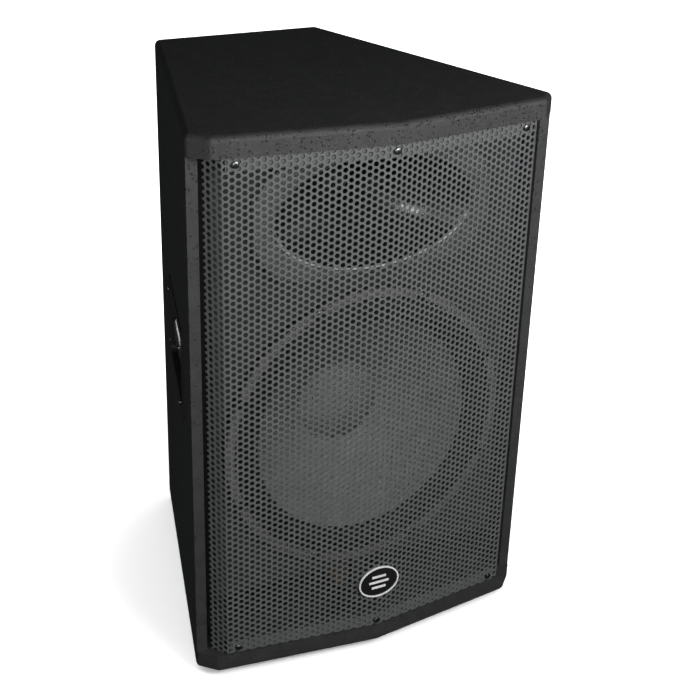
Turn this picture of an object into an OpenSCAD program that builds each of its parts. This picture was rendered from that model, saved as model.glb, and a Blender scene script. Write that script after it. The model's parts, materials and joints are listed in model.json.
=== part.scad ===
// Two-way loudspeaker cabinet with a folded front, tapered sides and a perforated steel grille.
// X runs across the front, Y runs from the front to the back and Z is up.
// The origin is on the floor, under the middle of the bounding box. Units are millimetres.

/* [Cabinet] */
// Width across the front edges of the side walls
cab_w = 466; // [462:2:474]
// Width across the back panel
back_w = 236; // [230:2:250]
// Height without the feet
cab_h = 698; // [690:2:720]
// Depth from the front fold to the back panel
cab_d = 460; // [450:2:480]
// Distance from the front fold back to the front edges of the side walls
side_set = 48; // [46:1:52]
// Distance from the grille's fold back to the front of the baffle
baffle_set = 57; // [56:1:60]
// Thickness of the top and bottom panels
slab_t = 25; // [23:1:27]
// Thickness of the side walls and the baffle
wall_t = 18; // [16:1:20]
// Rounding radius of the outer edges
edge_r = 8; // [6:1:10]
// Angle by which each half of the front falls back
fold_angle = 7; // [6:0.5:8]

/* [Grille] */
// Sheet thickness
grille_t = 1.5; // [1:0.1:2]
// How far the grille's fold sits behind the front fold of the panels
grille_setback = 3; // [3:0.5:4]
// Half width of the two wide facets
facet_x = 198.5; // [196:0.5:201]
// Half width over the folded side flanges
grille_x = 213.5; // [211.5:0.5:214.5]
// How far the side flanges' edges lie behind the grille's fold
flange_y = 44.5; // [42.5:0.5:46.5]

/* [Woofer] */
// Height of the woofer's axis above the underside of the cabinet
woofer_h = 292; // [290:1:296]
// Radius of the woofer's frame
frame_r = 190; // [187:1:191]
// Outer radius of the cone
cone_r = 147.5; // [144:0.5:148]
// Travel of the cone each way
cone_travel = 8; // [4:1:8]

/* [Horn] */
// Height of the horn's axis above the underside of the cabinet
horn_h = 580; // [577:1:584]
// Half width of the horn's mouth
mouth_a = 127; // [120:0.5:129]
// Half height of the horn's mouth
mouth_b = 67; // [60:0.5:68]

/* [Fittings] */
// Height of the rubber feet
foot_h = 9; // [8:1:12]
// Radius of the bore for a 35 mm speaker pole
pole_r = 18.25; // [18:0.05:18.5]
// Depth of the bore for the speaker pole
pole_depth = 82; // [70:1:84]
// Distance of the handles behind the front edges of the side walls, along the wall
handle_along = 185; // [178:1:192]
// Height of the handles above the underside of the cabinet
handle_h = 365; // [355:1:385]

/* [Hidden] */
$fn = 64;

// Gap left between fitted pieces that must not touch
gap = 0.3;

// Levels of the cabinet
floor_z = foot_h;
roof_z = foot_h + cab_h;
bay_low = floor_z + slab_t;
bay_high = roof_z - slab_t;
bay_h = bay_high - bay_low;

// Plan of the cabinet
front_y = -cab_d / 2;
back_y = cab_d / 2;
side_y = front_y + side_set;
chamfer_x = cab_w / 2 - 22;
chamfer_y = front_y + chamfer_x * tan(fold_angle);
taper = atan2((cab_w - back_w) / 2, back_y - side_y);
outline = [
    [0, front_y], [chamfer_x, chamfer_y], [cab_w / 2, side_y], [back_w / 2, back_y],
    [-back_w / 2, back_y], [-cab_w / 2, side_y], [-chamfer_x, chamfer_y]
];

// Grille and baffle planes
rail_h = 16;
rail_t = 14;
screw_x = 184;
screw_in = 7;
grille_y = front_y + grille_setback;
grille_low = bay_low + 0.5;
grille_h = bay_h - 1;
baffle_y = grille_y + baffle_set;
baffle_back = baffle_y + wall_t;
lip = 14.5;
back_t = 15;

// Badge, an oval plate with a raised rim
badge_h = 93;
badge_a = 26.5;
badge_b = 20.5;
badge_rim = 2;
badge_t = 1.2;

// Bass reflex slots
port_w = 204;
port_h = 55;
port_low = 10;
port_top = bay_low + port_low + port_h;
port_depth = 100;
divider_t = 16;

// Woofer
woofer_z = floor_z + woofer_h;
cut_r = frame_r - 15;
frame_t = 8;
spider_z = 88;
pot_z = 99.5;
magnet_z = 108;
bolt_r = frame_r - 7.5;
neck_z = 75;
cone_t = 1.6;
rim_z = -4.5;
coil_r = 51;
coil_top = 112;
coil_low = 98;
yoke_low = coil_top + cone_travel + 8;
yoke_high = yoke_low + 8;

// Horn
horn_z = floor_z + horn_h;
throat_r = 18;
throat_z = 100;
mouth_z = -14;
horn_wall = 3;
flange_w = 308;
flange_h = 150;
hf_depth = 65;

// Pole socket, feet, handles and input plate
pole_y = 4;
pole_wall = 2.75;
foot_xy = [[-168, -148], [168, -148], [-86, 190], [86, 190]];
handle_w = 168;
handle_ht = 98;
handle_deep = 55;
handle_rim = 1.2;
plate_w = 96;
plate_h = 150;
plate_t = 3;
plate_up = 150;
plate_z = floor_z + plate_up;
socket_gap = 58;
board_z = plate_z + 175;

// Half width of the cabinet at depth y, moved in by d
function side_at(y, d) = cab_w / 2 - (y - side_y) * tan(taper) - d / cos(taper);

// Unit normal that points into a counter-clockwise outline from the edge a to b
function inward(a, b) = let (u = (b - a) / norm(b - a)) [-u[1], u[0]];

// Outline moved in by d
function inset(pts, d) = [
    for (i = [0 : len(pts) - 1])
        let (n = len(pts), p = pts[i])
        let (n1 = inward(pts[(i + n - 1) % n], p), n2 = inward(p, pts[(i + 1) % n]))
        p + (n1 + n2) * d / (1 + n1 * n2)
];

// Outline with each corner rounded to radius r in the given number of steps
function rounded(pts, r, steps) = let (c = inset(pts, r), n = len(pts)) [
    for (i = [0 : n - 1])
        let (n1 = inward(pts[(i + n - 1) % n], pts[i]), n2 = inward(pts[i], pts[(i + 1) % n]))
        let (a1 = atan2(-n1[1], -n1[0]), turn = acos(min(1, n1 * n2)))
        for (k = [0 : steps])
            let (a = a1 + turn * k / steps)
            c[i] + r * [cos(a), sin(a)]
];

// Points of an ellipse
function ellipse(a, b, steps) = [
    for (i = [0 : steps - 1]) let (turn = i * 360 / steps) [a * cos(turn), b * sin(turn)]
];

// Point at parameter t between p1 and p2 on a smooth curve through four points
function spline(p0, p1, p2, p3, t) =
    0.5 * (2 * p1 + (p2 - p0) * t + (2 * p0 - 5 * p1 + 4 * p2 - p3) * t * t
    + (3 * p1 - p0 - 3 * p2 + p3) * t * t * t);

// Smooth curve through a list of points
function smooth(pts, steps) = let (n = len(pts)) concat([
    for (i = [0 : n - 2])
        for (k = [0 : steps - 1])
            spline(pts[max(i - 1, 0)], pts[i], pts[i + 1], pts[min(i + 2, n - 1)], k / steps)
], [pts[n - 1]]);

// Round tube of radius r that follows a list of points
module tube(pts, r, sides = 8) {
    n = len(pts);
    rings = [
        for (i = [0 : n - 1])
            let (d = pts[min(i + 1, n - 1)] - pts[max(i - 1, 0)], t = d / norm(d))
            let (side = cross(t, abs(t[2]) > 0.9 ? [1, 0, 0] : [0, 0, 1]))
            let (u = side / norm(side), v = cross(u, t))
            for (k = [0 : sides - 1])
                let (a = k * 360 / sides)
                pts[i] + r * (cos(a) * u + sin(a) * v)
    ];
    walls = [
        for (i = [0 : n - 2])
            for (k = [0 : sides - 1])
                let (k2 = (k + 1) % sides)
                [i * sides + k, i * sides + k2, (i + 1) * sides + k2, (i + 1) * sides + k]
    ];
    start = [for (k = [0 : sides - 1]) sides - 1 - k];
    finish = [for (k = [0 : sides - 1]) (n - 1) * sides + k];
    polyhedron(rings, concat(walls, [start, finish]), convexity = 6);
}

// Upright post with rounded ends, used at the corners of the slabs
module post(h, r, round_low, round_high) {
    arc = [for (i = [0 : 6]) i * 15];
    low = round_low ? [for (a = arc) [r * sin(a), r - r * cos(a)]] : [[0, 0], [r, 0]];
    high = round_high ? [for (a = arc) [r * cos(a), h - r + r * sin(a)]] : [[r, h], [0, h]];
    rotate_extrude($fn = 32) polygon(concat(low, high));
}

// Top or bottom slab with the cabinet's outline
module slab(round_low, round_high) {
    hull() for (p = inset(outline, edge_r)) translate(p) post(slab_t, edge_r, round_low, round_high);
}

// Flat plate with round corners, centred on the Z axis
module round_plate(w, h, t, r) {
    linear_extrude(t) {
        square([w - 2 * r, h], center = true);
        square([w, h - 2 * r], center = true);
        for (x = [-1, 1], y = [-1, 1]) translate([x * (w / 2 - r), y * (h / 2 - r)]) circle(r);
    }
}

// Screw with its head above Z = 0 and its shank below
module screw(head_r, head_t, shank_r, shank_l) {
    rotate_extrude() polygon([
        [0, -shank_l], [shank_r * 0.3, -shank_l], [shank_r, -shank_l + 2], [shank_r, 0],
        [head_r, 0], [head_r, head_t * 0.4], [head_r * 0.7, head_t * 0.9], [head_r * 0.4, head_t],
        [0, head_t]
    ]);
}

// Frames of reference. In the driver frames Z runs backwards from the front of the baffle.
module at_woofer() { translate([0, baffle_y, woofer_z]) rotate([-90, 0, 0]) children(); }
module at_horn() { translate([0, baffle_y, horn_z]) rotate([-90, 0, 0]) children(); }
module at_back(z) { translate([0, back_y, z]) rotate([-90, 0, 0]) children(); }

// Frame of the right handle: X points out of the wall, Y runs backwards along it
module at_handle() {
    y = side_y + handle_along * cos(taper);
    translate([side_at(y, 0), y, floor_z + handle_h]) rotate([0, 0, taper]) children();
}

// Places that fasteners share with the pieces they pass through
module at_woofer_bolts() { for (a = [22.5 : 45 : 337.5]) rotate(a) translate([bolt_r, 0]) children(); }
module at_horn_screws() { for (x = [-112, 112], y = [-56, 56]) translate([x, y]) children(); }
module at_hf_bolts() { for (a = [45 : 90 : 315]) rotate(a) translate([38, 0]) children(); }
module at_hf_studs() { for (a = [0 : 120 : 240]) rotate(a) translate([42, 0]) children(); }
module at_pole_screws() { for (a = [45 : 90 : 315]) rotate(a) translate([42, 0]) children(); }
module at_plate_screws() {
    for (x = [-1, 1], y = [-1, 1]) translate([x * (plate_w / 2 - 8), y * (plate_h / 2 - 8)]) children();
}
module at_board_corners() { for (x = [-68, 68], y = [-50, 50]) translate([x, y]) children(); }
module at_handle_screws() {
    for (y = [-1, 1], z = [-1, 1])
        translate([0, y * (handle_w / 2 + 6), z * (handle_ht / 2 - 12)]) children();
}

// Frames on the faces of the grille where its screws sit
module at_grille_screws() {
    for (x = [-screw_x, 0, screw_x], z = [grille_low + screw_in, grille_low + grille_h - screw_in])
        translate([x, grille_y + abs(x) * tan(fold_angle), z])
            rotate([90, 0, sign(x) * fold_angle]) children();
}

// Cabinet
module top_panel() {
    color("#232425") translate([0, 0, bay_high]) slab(false, true);
}

module bottom_panel() {
    color("#232425") difference() {
        translate([0, 0, floor_z]) slab(true, false);
        translate([0, pole_y, floor_z - 1]) cylinder(h = slab_t + 2, r = pole_r + pole_wall + gap);
        translate([0, pole_y, floor_z - 1]) at_pole_screws() cylinder(h = 17, r = 2.4);
        for (p = foot_xy) translate([p[0], p[1], floor_z - 1]) cylinder(h = 17, r = 2.1);
    }
}

// Plan of the right side wall, with a rebate that takes the baffle
module wall_plan() {
    far = baffle_back + gap;
    intersection() {
        polygon(rounded(outline, edge_r, 6));
        difference() {
            polygon([
                [cab_w, side_y], [cab_w, back_y + 1], [side_at(back_y + 1, wall_t), back_y + 1],
                [side_at(side_y, wall_t), side_y]
            ]);
            polygon([
                [0, side_y - 1], [side_at(side_y - 1, lip), side_y - 1], [side_at(far, lip), far], [0, far]
            ]);
        }
    }
}

module side_panel() {
    difference() {
        translate([0, 0, bay_low]) linear_extrude(bay_h) wall_plan();
        at_handle() {
            translate([-40, 0, 0]) rotate([90, 0, 90])
                round_plate(handle_w + 2 * gap, handle_ht + 2 * gap, 60, 12);
            at_handle_screws() rotate([0, -90, 0]) cylinder(h = 14, r = 1.9);
        }
    }
}

module right_side_panel() { color("#232425") side_panel(); }
module left_side_panel() { color("#232425") mirror([1, 0, 0]) side_panel(); }

module back_panel() {
    x = side_at(back_y, wall_t);
    x_in = side_at(back_y - back_t, wall_t);
    color("#232425") difference() {
        translate([0, 0, bay_low]) linear_extrude(bay_h)
            polygon([[-x_in, back_y - back_t], [x_in, back_y - back_t], [x, back_y], [-x, back_y]]);
        at_back(plate_z) {
            translate([0, 0, -plate_t]) round_plate(plate_w + 2 * gap, plate_h + 2 * gap, plate_t + 1, 6);
            for (y = [-1, 1])
                translate([0, y * socket_gap / 2, -back_t - 1]) cylinder(h = back_t + 2, r = 17);
            translate([0, 0, -back_t + 2]) at_plate_screws() cylinder(h = back_t, r = 1.6);
        }
        at_back(board_z) translate([0, 0, -back_t - 1]) at_board_corners() cylinder(h = 9, r = 1.6);
    }
}

module front_baffle() {
    x = side_at(baffle_y, lip) - gap;
    x_in = side_at(baffle_back, lip) - gap;
    color("#1b1c1d") difference() {
        translate([0, 0, bay_low]) linear_extrude(bay_h)
            polygon([[-x, baffle_y], [x, baffle_y], [x_in, baffle_back], [-x_in, baffle_back]]);
        at_woofer() {
            translate([0, 0, -1]) cylinder(h = wall_t + 2, r = cut_r);
            translate([0, 0, -1]) at_woofer_bolts() cylinder(h = wall_t + 2, r = 2.9);
        }
        at_horn() {
            translate([-64, -69, -1]) cube([128, 138, wall_t + 2]);
            for (s = [-64, 64]) translate([s, 0, -1]) cylinder(h = wall_t + 2, r = 69);
            translate([0, 0, -1]) at_horn_screws() cylinder(h = wall_t, r = 2.1);
        }
        for (s = [-1, 1])
            translate([s * (port_w + divider_t) / 2 - port_w / 2, baffle_y - 1, bay_low + port_low])
                cube([port_w, wall_t + 2, port_h]);
    }
}

// Board over the two reflex slots
module port_shelf() {
    y2 = baffle_back + port_depth;
    x1 = side_at(baffle_back + gap, wall_t);
    x2 = side_at(y2, wall_t);
    color("#c9a26b") translate([0, 0, port_top]) linear_extrude(wall_t)
        polygon([[-x1, baffle_back], [x1, baffle_back], [x2, y2], [-x2, y2]]);
}

// Upright between the two reflex slots
module port_divider() {
    color("#c9a26b") translate([-divider_t / 2, baffle_back, bay_low])
        cube([divider_t, port_depth, port_top - bay_low]);
}

module cross_brace() {
    y = 0;
    x1 = side_at(y, wall_t);
    x2 = side_at(y + 40, wall_t);
    color("#c9a26b") translate([0, 0, (woofer_z + horn_z) / 2 + 40]) linear_extrude(wall_t)
        polygon([[-x1, y], [x1, y], [x2, y + 40], [-x2, y + 40]]);
}

// Glue blocks in the two back corners
module corner_battens() {
    y = back_y - back_t;
    color("#c9a26b") for (s = [-1, 1]) translate([0, 0, bay_low]) linear_extrude(bay_h) polygon([
        [s * side_at(y, wall_t), y], [s * side_at(y - 20, wall_t), y - 20],
        [s * (side_at(y, wall_t) - 20), y - 20], [s * (side_at(y, wall_t) - 20), y]
    ]);
}

// Timber rail behind the grille that takes its screws
module grille_rail(z) {
    x = facet_x - 4;
    y = grille_y + grille_t / cos(fold_angle);
    t = tan(fold_angle);
    difference() {
        translate([0, 0, z]) linear_extrude(rail_h) polygon([
            [0, y], [x, y + x * t], [x, y + x * t + rail_t], [0, y + rail_t], [-x, y + x * t + rail_t],
            [-x, y + x * t]
        ]);
        at_grille_screws() translate([0, 0, -rail_t - 3]) cylinder(h = rail_t + 4, r = 1.9);
    }
}

module bottom_grille_rail() { color("#303234") grille_rail(bay_low); }
module top_grille_rail() { color("#303234") grille_rail(bay_high - rail_h); }

// Folded steel sheet. Its perforation is too fine for this model.
module grille() {
    t = grille_t / cos(fold_angle);
    y1 = facet_x * tan(fold_angle);
    lean = atan2(flange_y - y1, grille_x - facet_x);
    inner_x = facet_x - grille_t * tan((lean + fold_angle) / 2);
    end = grille_t * [-sin(lean), cos(lean)];
    color("#3a3d40") difference() {
        translate([0, grille_y, grille_low]) linear_extrude(grille_h) polygon([
            [0, 0], [facet_x, y1], [grille_x, flange_y], [grille_x + end[0], flange_y + end[1]],
            [inner_x, inner_x * tan(fold_angle) + t], [0, t], [-inner_x, inner_x * tan(fold_angle) + t],
            [-grille_x - end[0], flange_y + end[1]], [-grille_x, flange_y], [-facet_x, y1]
        ]);
        at_grille_screws() translate([0, 0, -5]) cylinder(h = 10, r = 2.3);
    }
}

module grille_screws() {
    color("#2a2b2c") at_grille_screws() screw(4.3, 2.6, 1.85, 14);
}

// Oval badge on the fold of the grille
module at_badge() { translate([0, grille_y, floor_z + badge_h]) rotate([90, 0, 0]) children(); }

module badge_plate() {
    color("#151617") at_badge() linear_extrude(badge_t) polygon(ellipse(badge_a, badge_b, 64));
}

// Raised rim of the badge, with three plain bars inside it
module badge_ring() {
    color("#c8cacc") at_badge() {
        linear_extrude(2 * badge_t) difference() {
            polygon(ellipse(badge_a + badge_rim, badge_b + badge_rim, 64));
            polygon(ellipse(badge_a, badge_b, 64));
        }
        for (i = [-1 : 1])
            translate([0, i * 8, badge_t]) linear_extrude(0.8) square([28 - 8 * abs(i), 3], center = true);
    }
}

// Woofer
// Depth of the cone's front surface at radius r
function cone_at(r) = rim_z + (neck_z - rim_z) * pow((cone_r - r) / (cone_r - coil_r), 0.92);

module woofer_basket() {
    color("#26282a") at_woofer() difference() {
        rotate_extrude() polygon([
            [frame_r, -frame_t], [frame_r, 0], [cut_r - 2, 0], [cut_r - 4, 34], [96, 92], [96, pot_z],
            [56, pot_z], [56, pot_z - 2], [78, pot_z - 2], [78, spider_z], [92, spider_z],
            [cut_r - 10, 30], [cut_r - 8, -4], [cut_r + 3, -4], [cut_r + 3, -frame_t]
        ]);
        at_woofer_bolts() translate([0, 0, -frame_t - 1]) cylinder(h = frame_t + 2, r = 2.95);
        for (a = [22.5 : 45 : 337.5]) rotate(a) translate([90, -26, 44]) cube([90, 52, 42]);
    }
}

module woofer_gasket() {
    color("#4a4c4c") at_woofer() difference() {
        translate([0, 0, -frame_t - 3.5]) cylinder(h = 3.5, r = frame_r - 1.5);
        translate([0, 0, -frame_t - 4]) cylinder(h = 5, r = cut_r + 3);
        at_woofer_bolts() translate([0, 0, -frame_t - 4]) cylinder(h = 5, r = 8);
    }
}

// Half-roll suspension with two rolls, glued to the inner ledge of the basket
module woofer_surround() {
    r1 = cone_r + gap;
    r2 = cut_r - 8;
    steps = 24;
    seat = -4;
    roll = 3.2;
    wave = [for (i = [0 : steps]) [r1 + (r2 - r1) * i / steps, seat - 1 - roll * abs(sin(360 * i / steps))]];
    back = [for (i = [steps : -1 : 0]) wave[i] + [0, 1]];
    color("#161718") at_woofer() rotate_extrude()
        polygon(concat(wave, [[cut_r + 2.5, seat - 1], [cut_r + 2.5, seat]], back));
}

module woofer_cone() {
    steps = 12;
    front = [for (i = [0 : steps]) let (r = cone_r + (coil_r - cone_r) * i / steps) [r, cone_at(r)]];
    back = [for (i = [steps : -1 : 0]) front[i] + [0, cone_t]];
    color("#3c3e3f") at_woofer() rotate_extrude() polygon(concat(front, back));
}

module woofer_dust_cap() {
    edge = 54;
    rise = 17;
    z = cone_at(edge) - 1.1;
    steps = 10;
    dome = [
        for (i = [0 : steps])
            let (f = sin(90 * i / steps))
            [edge * f, z - rise * (1 - pow(f, 2.2))]
    ];
    inner = [for (i = [steps : -1 : 0]) dome[i] + [-0.8 * sin(90 * i / steps), 1.1]];
    color("#494b4c") at_woofer() rotate_extrude() polygon(concat(dome, inner));
}

module woofer_voice_coil() {
    color("#b87333") at_woofer() rotate_extrude() polygon([
        [coil_r - 0.8, neck_z - 2], [coil_r, neck_z - 2], [coil_r, coil_low], [coil_r + 0.9, coil_low],
        [coil_r + 0.9, coil_top], [coil_r - 0.8, coil_top]
    ]);
}

module woofer_spider() {
    r1 = coil_r + gap;
    r2 = 78;
    steps = 40;
    t = 0.8;
    z = spider_z - t;
    wave = [for (i = [0 : steps]) [r1 + (r2 - r1) * i / steps, z + 1.6 * sin(1440 * i / steps)]];
    back = [for (i = [steps : -1 : 0]) wave[i] + [0, t]];
    color("#c8a060") at_woofer() rotate_extrude() polygon(concat(wave, [[91.5, z], [91.5, spider_z]], back));
}

module woofer_top_plate() {
    color("#55585a") at_woofer() difference() {
        translate([0, 0, pot_z]) cylinder(h = magnet_z - pot_z, r = 84);
        translate([0, 0, pot_z - 1]) cylinder(h = 10, r = coil_r + 2);
    }
}

module woofer_magnet() {
    color("#2d2d2f") at_woofer() difference() {
        translate([0, 0, magnet_z]) cylinder(h = yoke_low - magnet_z, r = 100);
        translate([0, 0, magnet_z - 1]) cylinder(h = yoke_low - magnet_z + 2, r = 60);
    }
}

// Back plate and vented pole piece
module woofer_yoke() {
    color("#55585a") at_woofer() difference() {
        union() {
            translate([0, 0, yoke_low]) cylinder(h = yoke_high - yoke_low, r = 88);
            translate([0, 0, 100]) cylinder(h = yoke_low - 99, r = coil_r - 1.5);
        }
        translate([0, 0, 99]) cylinder(h = 40, r = 16);
    }
}

// Insulating block on the basket with two spring terminals
module woofer_terminals() {
    color("#7a1f1a") at_woofer() {
        difference() {
            translate([-20, 110, 56]) cube([40, 34.5, 12]);
            translate([0, 0, 34]) cylinder(h = 58, r1 = cut_r - 4, r2 = 96);
        }
        for (x = [-12, 12]) translate([x, 144.5, 62]) rotate([-90, 0, 0]) cylinder(h = 9, r = 3.4);
    }
}

module woofer_screws() {
    color("#1d1e1f") at_woofer() at_woofer_bolts() translate([0, 0, -frame_t]) mirror([0, 0, 1])
        screw(5.2, 4.2, 2.8, 32);
}

// Horn
// Half axes of the flare at the fraction t of its length, grown by d
function flare(t, d) = [
    throat_r + (mouth_a - throat_r) * pow(t, 1.55) + d, throat_r + (mouth_b - throat_r) * pow(t, 1.2) + d
];

// Shell that opens from the round throat to the oval mouth
module flare_shell() {
    sides = 48;
    rings = 12;
    inner = [
        for (i = [0 : rings])
            let (t = i / rings)
            for (p = ellipse(flare(t, 0)[0], flare(t, 0)[1], sides))
                [p[0], p[1], throat_z + (mouth_z - throat_z) * t]
    ];
    outer = [
        for (i = [0 : rings])
            let (t = i / rings)
            for (p = ellipse(flare(t, horn_wall)[0], flare(t, horn_wall)[1], sides))
                [p[0], p[1], throat_z + (mouth_z - throat_z) * t]
    ];
    n = (rings + 1) * sides;
    last = rings * sides;
    inside = [
        for (i = [0 : rings - 1])
            for (k = [0 : sides - 1])
                let (a = i * sides + k, b = i * sides + (k + 1) % sides)
                [a + sides, b + sides, b, a]
    ];
    outside = [for (f = inside) [n + f[3], n + f[2], n + f[1], n + f[0]]];
    ends = [
        for (k = [0 : sides - 1])
            let (k2 = (k + 1) % sides)
            each [[n + k2, n + k, k, k2], [n + last + k, n + last + k2, last + k2, last + k]]
    ];
    polyhedron(concat(inner, outer), concat(inside, outside, ends), convexity = 8);
}

module horn_flare() {
    color("#1c1d1e") at_horn() {
        flare_shell();
        difference() {
            translate([0, 0, mouth_z]) round_plate(flange_w, flange_h, -mouth_z, 66);
            translate([0, 0, mouth_z - 1]) linear_extrude(-mouth_z + 2)
                polygon(ellipse(mouth_a + 1.5, mouth_b + 1.5, 48));
            at_horn_screws() translate([0, 0, mouth_z - 1]) cylinder(h = 20, r = 2.3);
            at_horn_screws() translate([0, 0, mouth_z - 1]) cylinder(h = 6, r = 5);
        }
        difference() {
            translate([0, 0, throat_z - 8]) cylinder(h = 8, r = 46);
            translate([0, 0, throat_z - 9]) cylinder(h = 10, r = throat_r + 2);
            at_hf_bolts() translate([0, 0, throat_z - 9]) cylinder(h = 10, r = 3.1);
        }
    }
}

module horn_screws() {
    color("#1d1e1f") at_horn() at_horn_screws() translate([0, 0, mouth_z + 5]) mirror([0, 0, 1])
        screw(4.6, 3.6, 2.05, 20);
}

// Front plate of the compression driver, with its pole and tapered throat
module hf_front_plate() {
    color("#55585a") at_horn() difference() {
        union() {
            translate([0, 0, throat_z]) cylinder(h = 9, r = 50);
            translate([0, 0, throat_z]) cylinder(h = 38, r = 25);
        }
        translate([0, 0, throat_z - 0.5]) cylinder(h = 39, r1 = throat_r, r2 = 12);
        at_hf_bolts() translate([0, 0, throat_z - 1]) cylinder(h = 7, r = 2.9);
    }
}

module hf_magnet() {
    color("#2d2d2f") at_horn() difference() {
        translate([0, 0, throat_z + 9]) cylinder(h = 20, r = 57);
        translate([0, 0, throat_z + 8]) cylinder(h = 22, r = 31);
    }
}

module hf_top_plate() {
    color("#55585a") at_horn() difference() {
        translate([0, 0, throat_z + 29]) cylinder(h = 8, r = 50);
        translate([0, 0, throat_z + 28]) cylinder(h = 10, r = 27);
        at_hf_studs() translate([0, 0, throat_z + 30]) cylinder(h = 8, r = 1.9);
    }
}

// Dome with its coil former, which moves in the gap
module hf_diaphragm() {
    z = throat_z + 42;
    steps = 8;
    dome = [for (i = [0 : steps]) [26.4 * sin(90 * i / steps), z + 9 * cos(90 * i / steps)]];
    inner = [for (i = [steps : -1 : 0]) [25.6 * sin(90 * i / steps), z + 8.4 * cos(90 * i / steps)]];
    color("#9aa0a6") at_horn() rotate_extrude()
        polygon(concat(dome, [[26.4, throat_z + 31], [25.6, throat_z + 31]], inner));
}

// Ring that clamps the edge of the diaphragm's suspension
module hf_clamp_ring() {
    color("#6d7073") at_horn() difference() {
        translate([0, 0, throat_z + 37]) cylinder(h = 6, r = 46);
        translate([0, 0, throat_z + 36]) cylinder(h = 8, r = 26.9);
        at_hf_studs() translate([0, 0, throat_z + 36]) cylinder(h = 8, r = 1.9);
    }
}

module hf_rear_cover() {
    color("#202122") at_horn() difference() {
        translate([0, 0, throat_z + 37]) cylinder(h = hf_depth - 37, r = 50);
        translate([0, 0, throat_z + 36]) cylinder(h = 7, r = 46.2);
        translate([0, 0, throat_z + 42]) cylinder(h = 20, r = 36);
        at_hf_studs() translate([0, 0, throat_z + 42]) cylinder(h = 24, r = 1.95);
    }
}

module hf_bolts() {
    color("#8e9194") at_horn() {
        at_hf_studs() translate([0, 0, throat_z + hf_depth]) screw(3.8, 3, 1.85, 33);
        at_hf_bolts() translate([0, 0, throat_z - 8]) mirror([0, 0, 1]) screw(5, 3.5, 2.8, 13);
    }
}

// Crossover, on the inner face of the back panel. Z runs forwards from that face.
module at_crossover() { translate([0, back_y - back_t, board_z]) rotate([90, 0, 0]) children(); }

module crossover_board() {
    color("#2f5d34") at_crossover() difference() {
        translate([-78, -60, 10]) cube([156, 120, 1.6]);
        at_board_corners() translate([0, 0, 9]) cylinder(h = 4, r = 1.7);
    }
}

module crossover_spacers() {
    color("#d8d8d0") at_crossover() at_board_corners() {
        difference() {
            cylinder(h = 10, r = 4);
            translate([0, 0, -1]) cylinder(h = 12, r = 1.7);
        }
        translate([0, 0, 11.6]) screw(3, 2, 1.5, 19);
    }
}

module coil_winding(r, h, core) {
    difference() {
        cylinder(h = h, r = r);
        translate([0, 0, -1]) cylinder(h = h + 2, r = core);
    }
}

module crossover_inductors() {
    color("#b87333") at_crossover() {
        translate([-44, 20, 11.6]) coil_winding(28, 24, 12);
        translate([22, 30, 11.6]) coil_winding(22, 20, 9);
        translate([56, -8, 11.6]) coil_winding(16, 16, 7);
    }
}

module crossover_capacitors() {
    color("#24478a") at_crossover() {
        for (y = [-52, -34]) translate([-62, y + 6, 20]) rotate([0, 90, 0]) cylinder(h = 44, r = 8);
        translate([-8, -40, 19]) rotate([0, 90, 0]) cylinder(h = 34, r = 7);
    }
}

module crossover_resistors() {
    color("#e6e2d6") at_crossover() {
        translate([34, -48, 12]) cube([26, 10, 9]);
        translate([-8, -20, 12]) cube([30, 10, 9]);
    }
}

// Input plate, flush with the back. In its frame Z points out of the back.
module input_plate() {
    color("#18191a") at_back(plate_z) difference() {
        translate([0, 0, -plate_t]) round_plate(plate_w, plate_h, plate_t, 6);
        for (y = [-1, 1])
            translate([0, y * socket_gap / 2, -plate_t - 1]) cylinder(h = plate_t + 2, r = 12.2);
        at_plate_screws() translate([0, 0, -plate_t - 1]) cylinder(h = plate_t + 2, r = 1.8);
        at_plate_screws() translate([0, 0, -2]) cylinder(h = 2.5, r1 = 1.8, r2 = 4.2);
    }
}

// Round socket for a four-pole twist-lock speaker plug, set in the plate from behind
module input_socket() {
    difference() {
        union() {
            translate([0, 0, -30]) cylinder(h = 29.6, r = 12);
            translate([0, 0, -plate_t - 2.5]) cylinder(h = 2.5, r = 16);
        }
        translate([0, 0, -20]) cylinder(h = 21, r = 10.2);
        for (a = [0, 90]) rotate(a) translate([-1.5, 9, -12]) cube([3, 2.1, 13]);
        for (a = [45 : 90 : 315]) rotate(a) translate([6, -0.5, -23]) cube([2, 1, 4]);
    }
}

module input_socket_upper() {
    color("#22252c") at_back(plate_z) translate([0, -socket_gap / 2, 0]) input_socket();
}
module input_socket_lower() {
    color("#22252c") at_back(plate_z) translate([0, socket_gap / 2, 0]) input_socket();
}

module input_plate_screws() {
    color("#1d1e1f") at_back(plate_z) at_plate_screws() rotate_extrude() polygon([
        [0, -13], [1.5, -12], [1.5, -2.3], [3.4, -0.2], [0, -0.2]
    ]);
}

// Handles
module handle_tray() {
    at_handle() rotate([90, 0, 90]) difference() {
        union() {
            round_plate(handle_w + 30, handle_ht + 24, handle_rim, 14);
            translate([0, 0, -handle_deep]) round_plate(handle_w, handle_ht, handle_deep + 1, 12);
        }
        translate([0, 0, 3 - handle_deep]) round_plate(handle_w - 6, handle_ht - 6, handle_deep, 9);
        for (y = [-1, 1], z = [-1, 1])
            translate([y * (handle_w / 2 + 6), z * (handle_ht / 2 - 12), -1]) cylinder(h = 5, r = 2.1);
    }
}

// Round bar across the mouth of the tray, thicker where the hand holds it
module handle_grip() {
    half = handle_w / 2 - 3;
    at_handle() translate([-13, 0, 0]) rotate([-90, 0, 0]) rotate_extrude() polygon([
        [0, -half], [9, -half], [9, -half + 14], [11.5, -half + 20], [12.5, -25], [12.5, 25],
        [11.5, half - 20], [9, half - 14], [9, half], [0, half]
    ]);
}

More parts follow.
